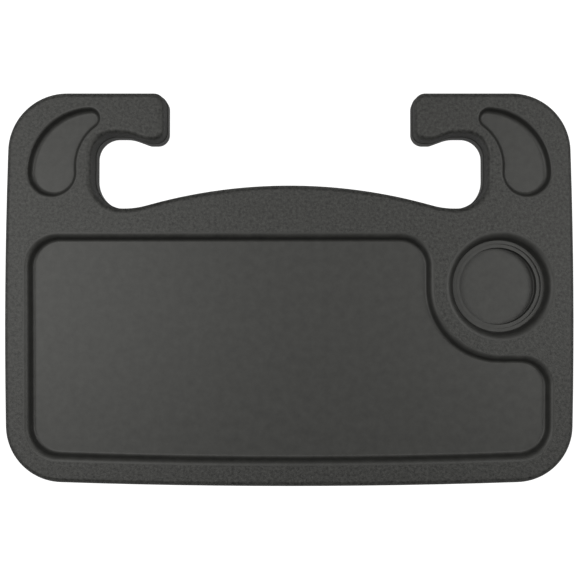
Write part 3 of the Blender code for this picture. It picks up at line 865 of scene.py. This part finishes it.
def add_front_tubs(shape, material):
    """Skins that hang round each well, and the bosses that the screws bite into."""
    group = "front_additions"
    tub = well_tub(shape.recess_depth, shape.recess_lip, RECESS_WALL_RUN, RECESS_FLOOR_FILLET)
    stack("recess_tub", recess_outline(), tub, group, material, HIDDEN_TOLERANCE)
    tub = well_tub(shape.teardrop_depth, TEAR_LIP_RADIUS, TEAR_WALL_RUN, TEAR_FLOOR_FILLET)
    for mirror in (1, -1):
        stack("teardrop_tub", teardrop_outline(), tub, group, material, HIDDEN_TOLERANCE, mirror)
    cup_x, cup_y = cup_centre()
    base = THICKNESS - CUP_BASE_DEPTH - SKIN
    ledge = THICKNESS - CUP_LEDGE_DEPTH - SKIN
    profile = [
        (0, THICKNESS - HALF_SKIN),
        (CUP_LIP_RADIUS - CUP_LIP_ROUNDING + 2 * SKIN, THICKNESS - HALF_SKIN),
        (CUP_LEDGE_RADIUS + SKIN, ledge + CUP_FILLET),
        (CUP_LEDGE_RADIUS + SKIN - CUP_FILLET, ledge),
        (CUP_BASE_RADIUS + SKIN, ledge),
        (CUP_BASE_RADIUS + SKIN, base + CUP_FILLET),
        (CUP_BASE_RADIUS + SKIN - CUP_FILLET, base),
        (0, base),
    ]
    turned("cup_tub", profile, cup_x, cup_y, shape.cup_sides // CUP_SKIN_FEWER, group, material)
    radius = SCREW_DIAMETER / 2 + FIT_GAP + BOSS_WALL
    foot = PARTING_HEIGHT + FIT_GAP
    sides = shape.cup_sides // BOSS_FEWER
    for x, y in screw_places():
        post("boss", radius, foot, THICKNESS - HALF_SKIN, x, y, sides, group, material)


def cut_front_voids(shape, material):
    """Hollows of the recess, the teardrops and the stepped cup well, and the screws' pilot holes."""
    group = "front_voids"
    fine = shape.curve_tolerance
    steps = shape.edge_steps
    void = well_void(shape.recess_depth, shape.recess_lip, RECESS_WALL_RUN, RECESS_FLOOR_FILLET, steps)
    stack("recess_void", recess_outline(), void, group, material, fine)
    void = well_void(shape.teardrop_depth, TEAR_LIP_RADIUS, TEAR_WALL_RUN, TEAR_FLOOR_FILLET, steps)
    for mirror in (1, -1):
        stack("teardrop_void", teardrop_outline(), void, group, material, fine, mirror)
    cup_x, cup_y = cup_centre()
    turned("cup_void", cup_void_profile(shape), cup_x, cup_y, shape.cup_sides, group, material)
    radius = SCREW_DIAMETER / 2 + FIT_GAP
    foot = PARTING_HEIGHT - OVERRUN
    top = THICKNESS - SKIN - BOSS_ROOF
    sides = shape.cup_sides // BOSS_FEWER
    for x, y in screw_places():
        post("pilot_hole", radius, foot, top, x, y, sides, group, material)


def build_back_shell(shape, finish):
    """Writing side: a shallow pan with pillars, ribs and a pen groove."""
    material = textured_abs(finish)
    outline = tray_outline()
    shell = stack("back_moulding", outline, back_sections(shape), "tray", material, shape.curve_tolerance)
    stack("back_cavity", outline, back_cavity(), "back_hollow", material, HIDDEN_TOLERANCE)
    combine(shell, "DIFFERENCE", "back_hollow")
    add_pillars(shape, material)
    add_ribs(material)
    add_groove(shape, material)
    combine(shell, "UNION", "back_additions")
    combine(shell, "DIFFERENCE", "back_voids")
    return settle(shell, ("back_hollow", "back_additions", "back_voids"))


def add_pillars(shape, material):
    """Hollow pillars that the screws pass, each with a deep counterbore for the head."""
    head_radius = SCREW_HEAD_DIAMETER / 2 + FIT_GAP
    shank_radius = SCREW_DIAMETER / 2 + FIT_GAP
    pillar_radius = head_radius + PILLAR_WALL
    sides = shape.cup_sides // PILLAR_FEWER
    top = PARTING_HEIGHT + OVERRUN
    for x, y in screw_places():
        post("pillar", pillar_radius, HALF_SKIN, PARTING_HEIGHT, x, y, sides, "back_additions", material)
        post("counterbore", head_radius, -OVERRUN, SCREW_HEAD_SEAT, x, y, sides, "back_voids", material)
        post("clearance_hole", shank_radius, SKIN, top, x, y, sides, "back_voids", material)


def add_ribs(material):
    """Crossing ribs on the back shell's floor, as high as the cup well's underside allows."""
    half_width, top, bottom = recess_edges()
    rib_top = THICKNESS - CUP_BASE_DEPTH - SKIN - RIB_CLEARANCE
    left = -half_width + RIB_FIELD_INSET
    low = bottom + RIB_FIELD_INSET
    right = -left
    high = top - RIB_FIELD_INSET
    uprights = math.floor((right - left) / RIB_PITCH)
    for index in range(uprights + 1):
        x = (index - uprights / 2) * RIB_PITCH
        start = (x - RIB_THICKNESS / 2, low, HALF_SKIN)
        end = (x + RIB_THICKNESS / 2, high, rib_top)
        block("upright_rib", start, end, "back_additions", material)
    crossings = math.floor((high - low) / RIB_PITCH)
    for index in range(crossings + 1):
        y = (low + high) / 2 + (index - crossings / 2) * RIB_PITCH
        start = (left, y - RIB_THICKNESS / 2, HALF_SKIN)
        end = (right, y + RIB_THICKNESS / 2, rib_top)
        block("cross_rib", start, end, "back_additions", material)


def add_groove(shape, material):
    """Pen groove sunk into the back face, with its skin standing up inside."""
    _, top, _ = recess_edges()
    outline = rounded_slot(GROOVE_LENGTH_SHARE * WIDTH, GROOVE_WIDTH, top - GROOVE_DROP)
    tub = [(-SKIN, HALF_SKIN), (-SKIN, GROOVE_DEPTH), (GROOVE_EDGE - SKIN, GROOVE_DEPTH + SKIN)]
    stack("groove_tub", outline, tub, "back_additions", material, HIDDEN_TOLERANCE)
    void = [(0, -OVERRUN), (0, GROOVE_DEPTH - GROOVE_EDGE)]
    for across, up in quarter(GROOVE_EDGE, shape.edge_steps)[1:]:
        void.append((GROOVE_EDGE - across, GROOVE_DEPTH - GROOVE_EDGE + up))
    stack("groove_void", outline, void, "back_voids", material, shape.curve_tolerance)


def build_screws(shape, finish):
    """Pan-head self-tapping screws with a cross recess, driven from the back: all share one mesh."""
    material = zinc_plated_steel(finish)
    head_radius = SCREW_HEAD_DIAMETER / 2
    shank_radius = SCREW_DIAMETER / 2
    under_head = SCREW_HEAD_SEAT - FIT_GAP
    shank_top = under_head + SCREW_LENGTH
    head_bottom = under_head - SCREW_HEAD_HEIGHT
    profile = [(0, shank_top), (shank_radius, shank_top - SCREW_POINT), (shank_radius, under_head)]
    profile.append((head_radius, under_head))
    for across, up in quarter(SCREW_HEAD_ROUNDING, shape.edge_steps):
        side = head_radius - SCREW_HEAD_ROUNDING + across
        profile.append((side, head_bottom + SCREW_HEAD_ROUNDING - up))
    profile.append((0, head_bottom))
    first = turned("screw_01", profile, 0, 0, shape.cup_sides // SCREW_FEWER, "tray", material)
    reach = SCREW_RECESS_WIDTH / 2
    half_slot = SCREW_RECESS_SLOT / 2
    low = head_bottom - OVERRUN
    high = head_bottom + SCREW_RECESS_DEPTH
    block("recess_along", (-reach, -half_slot, low), (reach, half_slot, high), "cross_recess", material)
    block("recess_across", (-half_slot, -reach, low), (half_slot, reach, high), "cross_recess", material)
    combine(first, "DIFFERENCE", "cross_recess")
    settle(first, ("cross_recess",))
    screws = [first]
    for index in range(2, len(screw_places()) + 1):
        copy = first.copy()
        copy.name = f"screw_{index:02d}"
        screws.append(into("tray", copy))
    for screw, (x, y) in zip(screws, screw_places()):
        screw.location = (x, y, 0)
    bpy.context.view_layer.update()
    return screws


def add_node(tree, kind, settings, links):
    """Adds a node, sets its properties and its inputs by name or number, and links sockets into it."""
    node = tree.nodes.new(kind)
    for key, value in settings.items():
        if isinstance(key, int) or key in node.inputs:
            node.inputs[key].default_value = value
        else:
            setattr(node, key, value)
    for key, socket in links.items():
        tree.links.new(socket, node.inputs[key])
    return node


def new_material(name):
    """Material with an empty node tree and its output node."""
    material = bpy.data.materials.new(name)
    material.use_nodes = True
    material.node_tree.nodes.clear()
    output = material.node_tree.nodes.new("ShaderNodeOutputMaterial")
    return material, material.node_tree, output


def uneven_colour(tree, colour, pattern, spread, shades):
    """Colour that a pattern darkens and lightens: its values across the spread become the shades."""
    tint = add_node(
        tree,
        "ShaderNodeMapRange",
        {"From Min": spread[0], "From Max": spread[1], "To Min": shades[0], "To Max": shades[1]},
        {"Value": pattern},
    )
    scaled = add_node(
        tree,
        "ShaderNodeVectorMath",
        {"operation": "SCALE", 0: tuple(colour)},
        {"Scale": tint.outputs["Result"]},
    )
    return scaled.outputs["Vector"]


def slant_roughness(tree, facing, slanted):
    """Roughness that grows from the surfaces that face the eye to those that slant away from it."""
    slant = add_node(tree, "ShaderNodeLayerWeight", {"Blend": 0.5}, {})
    dryness = add_node(
        tree,
        "ShaderNodeMapRange",
        {"From Min": 0.3, "From Max": 0.9, "To Min": facing, "To Max": slanted},
        {"Value": slant.outputs["Facing"]},
    )
    return dryness.outputs["Result"]


def grained_abs(finish):
    """Charcoal ABS, moulded against a finely etched tool.

    The etching gives the rim a broad dry sheen, which lifts the dark plastic to a mid grey, and a fine
    mottled grain. At a slant its pits hide one another, so the sheen dims towards the rounded edges.
    The real etching is about a quarter of a millimetre apart, and is drawn coarser so that it shows.
    """
    material, tree, output = new_material("grained_moulded_abs")
    place = add_node(tree, "ShaderNodeTexCoord", {}, {})
    grain = add_node(
        tree,
        "ShaderNodeTexNoise",
        {"Scale": 1 / finish.grain_size, "Detail": 4.0, "Roughness": 0.75},
        {"Vector": place.outputs["Object"]},
    )
    bump = add_node(
        tree,
        "ShaderNodeBump",
        {"Strength": 0.6, "Distance": GRAIN_HEIGHT},
        {"Height": grain.outputs["Fac"]},
    )
    shader = add_node(
        tree,
        "ShaderNodeBsdfPrincipled",
        {"distribution": "GGX", "IOR": ABS_IOR, "Specular IOR Level": 0.35},
        {
            "Base Color": uneven_colour(
                tree, finish.rim_colour, grain.outputs["Fac"], spread=(0.32, 0.68), shades=(0.2, 1.8)
            ),
            "Roughness": slant_roughness(tree, facing=0.54, slanted=1.0),
            "Normal": bump.outputs["Normal"],
        },
    )
    tree.links.new(shader.outputs["BSDF"], output.inputs["Surface"])
    return material


def satin_abs(finish):
    """Charcoal ABS, moulded against a blasted tool.

    Blasting leaves an even satin, so the floors look smoother than the rim and hold soft wide sheens,
    with faint clouds where the plastic flowed.
    """
    material, tree, output = new_material("satin_moulded_abs")
    place = add_node(tree, "ShaderNodeTexCoord", {}, {})
    cloud = add_node(
        tree,
        "ShaderNodeTexNoise",
        {"Scale": 1 / CLOUD_SIZE, "Detail": 4.0, "Roughness": 0.6},
        {"Vector": place.outputs["Object"]},
    )
    shader = add_node(
        tree,
        "ShaderNodeBsdfPrincipled",
        {"Roughness": 0.53, "IOR": ABS_IOR, "Specular IOR Level": 0.375},
        {
            "Base Color": uneven_colour(
                tree, finish.well_colour, cloud.outputs["Fac"], spread=(0.25, 0.75), shades=(0.75, 1.25)
            ),
        },
    )
    tree.links.new(shader.outputs["BSDF"], output.inputs["Surface"])
    return material


def textured_abs(finish):
    """Charcoal ABS, moulded against a spark-eroded tool.

    Spark erosion leaves fine pits, so the writing side looks flat and a little darker than the rim,
    and its sheen dims at a slant as the rim's does. The real pits are about a tenth of a millimetre
    apart, and are drawn coarser so that they show.
    """
    material, tree, output = new_material("textured_moulded_abs")
    place = add_node(tree, "ShaderNodeTexCoord", {}, {})
    pits = add_node(
        tree,
        "ShaderNodeTexVoronoi",
        {"Scale": 1 / PIT_SPACING, "feature": "SMOOTH_F1"},
        {"Vector": place.outputs["Object"]},
    )
    bump = add_node(
        tree,
        "ShaderNodeBump",
        {"Strength": 0.3, "Distance": PIT_HEIGHT},
        {"Height": pits.outputs["Distance"]},
    )
    shader = add_node(
        tree,
        "ShaderNodeBsdfPrincipled",
        {"distribution": "GGX", "IOR": ABS_IOR, "Specular IOR Level": 0.43},
        {
            "Base Color": uneven_colour(
                tree, finish.back_colour, pits.outputs["Distance"], spread=(0.0, 0.7), shades=(0.94, 1.06)
            ),
            "Roughness": slant_roughness(tree, facing=0.62, slanted=0.88),
            "Normal": bump.outputs["Normal"],
        },
    )
    tree.links.new(shader.outputs["BSDF"], output.inputs["Surface"])
    return material


def zinc_plated_steel(finish):
    """Steel, cold headed and thread rolled, then zinc plated and passivated black.

    The plating follows the headed surface, so it shines unevenly, with duller patches.
    """
    material, tree, output = new_material("black_zinc_plated_steel")
    place = add_node(tree, "ShaderNodeTexCoord", {}, {})
    patches = add_node(
        tree,
        "ShaderNodeTexNoise",
        {"Scale": 1 / PLATING_PATCH_SIZE, "Detail": 3.0},
        {"Vector": place.outputs["Object"]},
    )
    gloss = add_node(
        tree,
        "ShaderNodeMapRange",
        {"From Min": 0.3, "From Max": 0.7, "To Min": 0.28, "To Max": 0.48},
        {"Value": patches.outputs["Fac"]},
    )
    shader = add_node(
        tree,
        "ShaderNodeBsdfPrincipled",
        {"Base Color": (*finish.screw_colour, 1), "Metallic": 1.0},
        {"Roughness": gloss.outputs["Result"]},
    )
    tree.links.new(shader.outputs["BSDF"], output.inputs["Surface"])
    return material


def matt_paper():
    """Matt paper, which keeps the tray's shadow and glows white only to the eye and in reflections."""
    material, tree, output = new_material("white_background_paper")
    path = add_node(tree, "ShaderNodeLightPath", {}, {})
    mirrored_too = add_node(
        tree,
        "ShaderNodeMath",
        {"operation": "MAXIMUM"},
        {0: path.outputs["Is Camera Ray"], 1: path.outputs["Is Glossy Ray"]},
    )
    seen_through_too = add_node(
        tree,
        "ShaderNodeMath",
        {"operation": "MAXIMUM"},
        {0: mirrored_too.outputs["Value"], 1: path.outputs["Is Transmission Ray"]},
    )
    shader = add_node(
        tree,
        "ShaderNodeBsdfPrincipled",
        {
            "Base Color": (*linear(PAPER_GREY), 1),
            "Roughness": 0.9,
            "Specular IOR Level": 0.0,
            "Emission Color": (1, 1, 1, 1),
        },
        {"Emission Strength": seen_through_too.outputs["Value"]},
    )
    tree.links.new(shader.outputs["BSDF"], output.inputs["Surface"])
    return material


def softbox(name, place, size, power):
    """Softbox of a width and height, whose face is turned to the tray's middle."""
    lamp = bpy.data.lights.new(name, "AREA")
    lamp.shape = "RECTANGLE"
    lamp.size, lamp.size_y = size
    lamp.energy = power
    lamp.color = linear(LAMP_WHITE)
    thing = into("studio", bpy.data.objects.new(name, lamp))
    thing.location = place
    thing.rotation_euler = (Vector(SOFTBOX_TARGET) - Vector(place)).to_track_quat("-Z", "Y").to_euler()


def build_stage(studio):
    """Paper floor, softboxes left, right and above, grey room light and the camera above the tray."""
    bm = bmesh.new()
    bmesh.ops.create_grid(bm, x_segments=8, y_segments=8, size=PAPER_REACH)
    bmesh.ops.translate(bm, verts=bm.verts, vec=(0, 0, -PAPER_GAP))
    floor = object_from("paper_floor", bm, "studio", matt_paper())
    softbox("left_softbox", LEFT_SOFTBOX_PLACE, SIDE_SOFTBOX_SIZE, studio.left_power)
    softbox("right_softbox", RIGHT_SOFTBOX_PLACE, SIDE_SOFTBOX_SIZE, studio.right_power)
    softbox("overhead_softbox", OVERHEAD_SOFTBOX_PLACE, OVERHEAD_SOFTBOX_SIZE, studio.top_power)
    world = bpy.data.worlds.new("studio_room")
    world.use_nodes = True
    world.node_tree.nodes.clear()
    room = add_node(
        world.node_tree,
        "ShaderNodeBackground",
        {"Color": (1, 1, 1, 1), "Strength": studio.room_light},
        {},
    )
    add_node(world.node_tree, "ShaderNodeOutputWorld", {}, {"Surface": room.outputs["Background"]})
    scene = bpy.context.scene
    scene.world = world
    scene.view_settings.view_transform = "Standard"
    lens = bpy.data.cameras.new("camera")
    lens.sensor_fit = "HORIZONTAL"
    lens.angle = studio.view_angle
    lens.shift_x = CAMERA_SHIFT
    camera = into("studio", bpy.data.objects.new("camera", lens))
    camera.location = (CAMERA_X, CAMERA_Y, studio.camera_height)
    camera.rotation_euler = (CAMERA_TILT, 0, 0)
    scene.camera = camera


class TRAY_OT_front_shell(bpy.types.Operator):
    """Builds the food side with its recess, cup well and teardrop wells"""

    bl_idname = "tray.front_shell"
    bl_label = "Front shell"

    def execute(self, context):
        shell = build_front_shell(context.scene.tray_shape, context.scene.tray_finish)
        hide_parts("front_shell")
        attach(shell, BODY)
        return {"FINISHED"}


class TRAY_OT_back_shell(bpy.types.Operator):
    """Builds the writing side with its pen groove, ribs and screw pillars"""

    bl_idname = "tray.back_shell"
    bl_label = "Back shell"

    def execute(self, context):
        shell = build_back_shell(context.scene.tray_shape, context.scene.tray_finish)
        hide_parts("back_shell")
        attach(shell, BODY)
        return {"FINISHED"}


class TRAY_OT_screws(bpy.types.Operator):
    """Builds the screws that join the two shells from the back"""

    bl_idname = "tray.screws"
    bl_label = "Screws"

    def execute(self, context):
        for index, screw in enumerate(build_screws(context.scene.tray_shape, context.scene.tray_finish), 1):
            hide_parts(f"shell_screw_{index:02d}")
            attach(screw, BODY)
        return {"FINISHED"}


class TRAY_OT_stage(bpy.types.Operator):
    """Builds the paper floor, the softboxes and the camera"""

    bl_idname = "tray.stage"
    bl_label = "Stage"

    def execute(self, context):
        build_stage(context.scene.tray_studio)
        return {"FINISHED"}


class TRAY_PT_sidebar(bpy.types.Panel):
    """Lists the tray's pieces, sizes and colours"""

    bl_idname = "TRAY_PT_sidebar"
    bl_label = "Tray"
    bl_space_type = "VIEW_3D"
    bl_region_type = "UI"
    bl_category = "Tray"

    def draw(self, context):
        layout = self.layout
        for group in (context.scene.tray_shape, context.scene.tray_finish, context.scene.tray_studio):
            box = layout.box()
            for name in group.__annotations__:
                box.prop(group, name)
        for operator in OPERATORS:
            layout.operator(operator.bl_idname)


OPERATORS = (TRAY_OT_stage, TRAY_OT_front_shell, TRAY_OT_back_shell, TRAY_OT_screws)
CLASSES = (TrayShape, TrayFinish, TrayStudio, *OPERATORS, TRAY_PT_sidebar)


def register():
    """Adds the tray's operators, panel and settings to Blender."""
    for cls in CLASSES:
        bpy.utils.register_class(cls)
    bpy.types.Scene.tray_shape = PointerProperty(type=TrayShape)
    bpy.types.Scene.tray_finish = PointerProperty(type=TrayFinish)
    bpy.types.Scene.tray_studio = PointerProperty(type=TrayStudio)


def unregister():
    """Removes the tray's operators, panel and settings from Blender."""
    del bpy.types.Scene.tray_studio
    del bpy.types.Scene.tray_finish
    del bpy.types.Scene.tray_shape
    for cls in reversed(CLASSES):
        bpy.utils.unregister_class(cls)


def main():
    """Builds every piece and the stage."""
    register()
    bpy.ops.tray.stage()
    bpy.ops.tray.front_shell()
    bpy.ops.tray.back_shell()
    bpy.ops.tray.screws()


if __name__ == "__main__":
    main()
